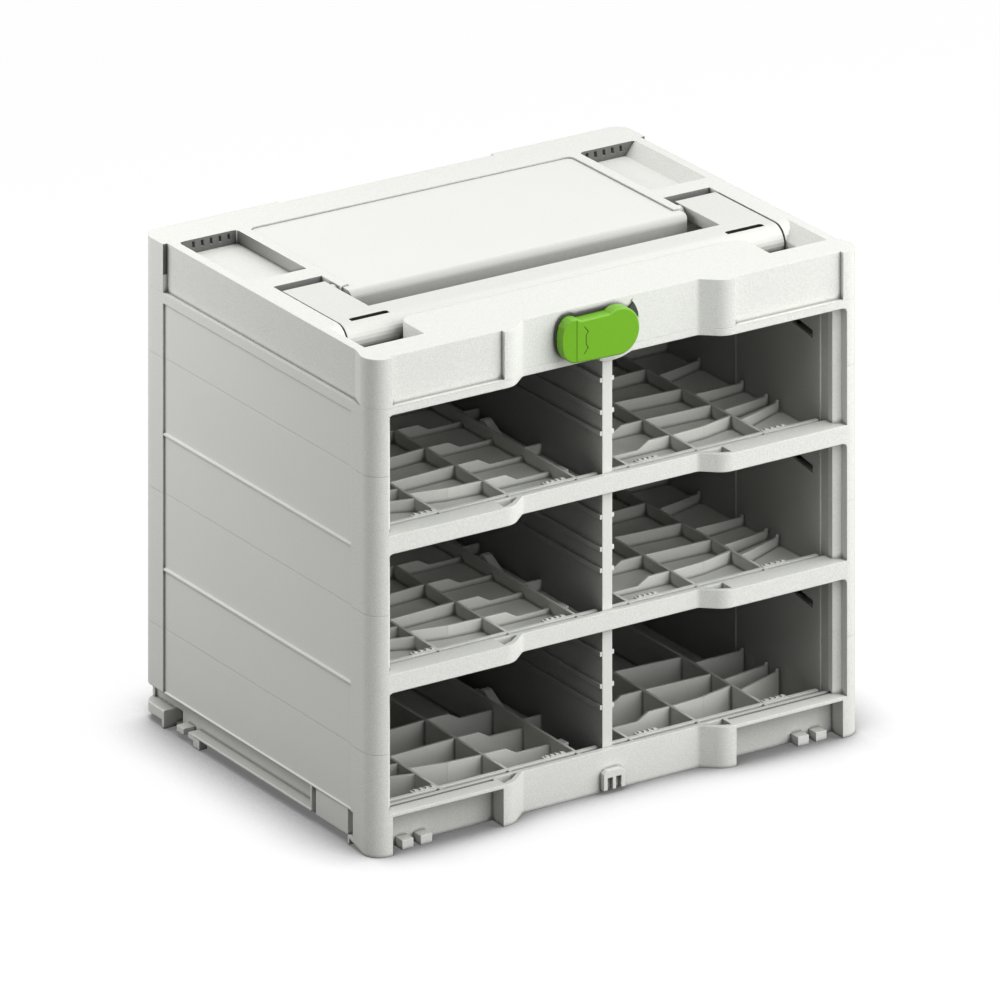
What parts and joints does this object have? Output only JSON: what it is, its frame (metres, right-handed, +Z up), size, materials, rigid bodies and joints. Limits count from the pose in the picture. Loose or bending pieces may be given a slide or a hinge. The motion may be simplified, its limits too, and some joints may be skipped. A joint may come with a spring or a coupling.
{
  "type": "drawer rack case",
  "caption": "Stackable moulded case rack with two columns of open drawer bays over ribbed floors, a fold-flat carry handle in the lid and a rotary coupling latch on the front.",
  "frame": {"origin": "middle of the footprint at floor level, under the centre of the case", "axes": "+Z up, +Y to the back, +X to the right seen from the front, where the bays open"},
  "size_m": [0.396, 0.296, 0.331],
  "materials": {
    "shell_plastic": "finely textured light grey moulding",
    "accent_plastic": "satin bright green moulding",
    "dark_plastic": "satin dark grey moulding",
    "steel": "bright steel"
  },
  "bodies": {
    "cabinet": {"base_housing": "shell_plastic", "lower_shelf_housing": "shell_plastic", "upper_shelf_housing": "shell_plastic", "top_frame": "shell_plastic", "lid_deck": "shell_plastic", "top_cover": "shell_plastic", "handle_pivot_pins": "steel", "latch_seat": "dark_plastic", "divider_lower": "shell_plastic", "rib_floor_lower_left": "shell_plastic", "side_liner_lower_left": "shell_plastic", "rib_floor_lower_right": "shell_plastic", "side_liner_lower_right": "shell_plastic", "divider_middle": "shell_plastic", "rib_floor_middle_left": "shell_plastic", "side_liner_middle_left": "shell_plastic", "rib_floor_middle_right": "shell_plastic", "side_liner_middle_right": "shell_plastic", "divider_upper": "shell_plastic", "rib_floor_upper_left": "shell_plastic", "side_liner_upper_left": "shell_plastic", "rib_floor_upper_right": "shell_plastic", "side_liner_upper_right": "shell_plastic"},
    "catch_lower_left": {"drawer_catch_lower_left": "shell_plastic"},
    "catch_lower_right": {"drawer_catch_lower_right": "shell_plastic"},
    "catch_middle_left": {"drawer_catch_middle_left": "shell_plastic"},
    "catch_middle_right": {"drawer_catch_middle_right": "shell_plastic"},
    "catch_upper_left": {"drawer_catch_upper_left": "shell_plastic"},
    "catch_upper_right": {"drawer_catch_upper_right": "shell_plastic"},
    "handle": {"carry_handle": "shell_plastic"},
    "latch": {"latch_toggle": "accent_plastic", "latch_backplate": "dark_plastic", "latch_retainer": "steel"}
  },
  "joints": [
    {"name": "handle_hinge", "type": "hinge", "parent": "cabinet", "child": "handle", "pos_m": [0, -0.0079, 0.323], "axis": [-1, 0, 0], "range_deg": [0, 90]},
    {"name": "latch_turn", "type": "hinge", "parent": "cabinet", "child": "latch", "pos_m": [0, -0.1385, 0.3129], "axis": [0, 1, 0], "range_deg": [0, 90]},
    {"name": "catch_lower_left_flex", "type": "hinge", "parent": "cabinet", "child": "catch_lower_left", "pos_m": [-0.0125, -0.025, 0.0173], "axis": [-1, 0, 0], "range_deg": [0, 8], "stiffness_Nm_per_rad": 0.6, "springref_deg": -1.15},
    {"name": "catch_lower_right_flex", "type": "hinge", "parent": "cabinet", "child": "catch_lower_right", "pos_m": [0.0125, -0.025, 0.0173], "axis": [-1, 0, 0], "range_deg": [0, 8], "stiffness_Nm_per_rad": 0.6, "springref_deg": -1.15},
    {"name": "catch_middle_left_flex", "type": "hinge", "parent": "cabinet", "child": "catch_middle_left", "pos_m": [-0.0125, -0.025, 0.10946], "axis": [-1, 0, 0], "range_deg": [0, 8], "stiffness_Nm_per_rad": 0.6, "springref_deg": -1.15},
    {"name": "catch_middle_right_flex", "type": "hinge", "parent": "cabinet", "child": "catch_middle_right", "pos_m": [0.0125, -0.025, 0.10946], "axis": [-1, 0, 0], "range_deg": [0, 8], "stiffness_Nm_per_rad": 0.6, "springref_deg": -1.15},
    {"name": "catch_upper_left_flex", "type": "hinge", "parent": "cabinet", "child": "catch_upper_left", "pos_m": [-0.0125, -0.025, 0.20186], "axis": [-1, 0, 0], "range_deg": [0, 8], "stiffness_Nm_per_rad": 0.6, "springref_deg": -1.15},
    {"name": "catch_upper_right_flex", "type": "hinge", "parent": "cabinet", "child": "catch_upper_right", "pos_m": [0.0125, -0.025, 0.20186], "axis": [-1, 0, 0], "range_deg": [0, 8], "stiffness_Nm_per_rad": 0.6, "springref_deg": -1.15}
  ]
}
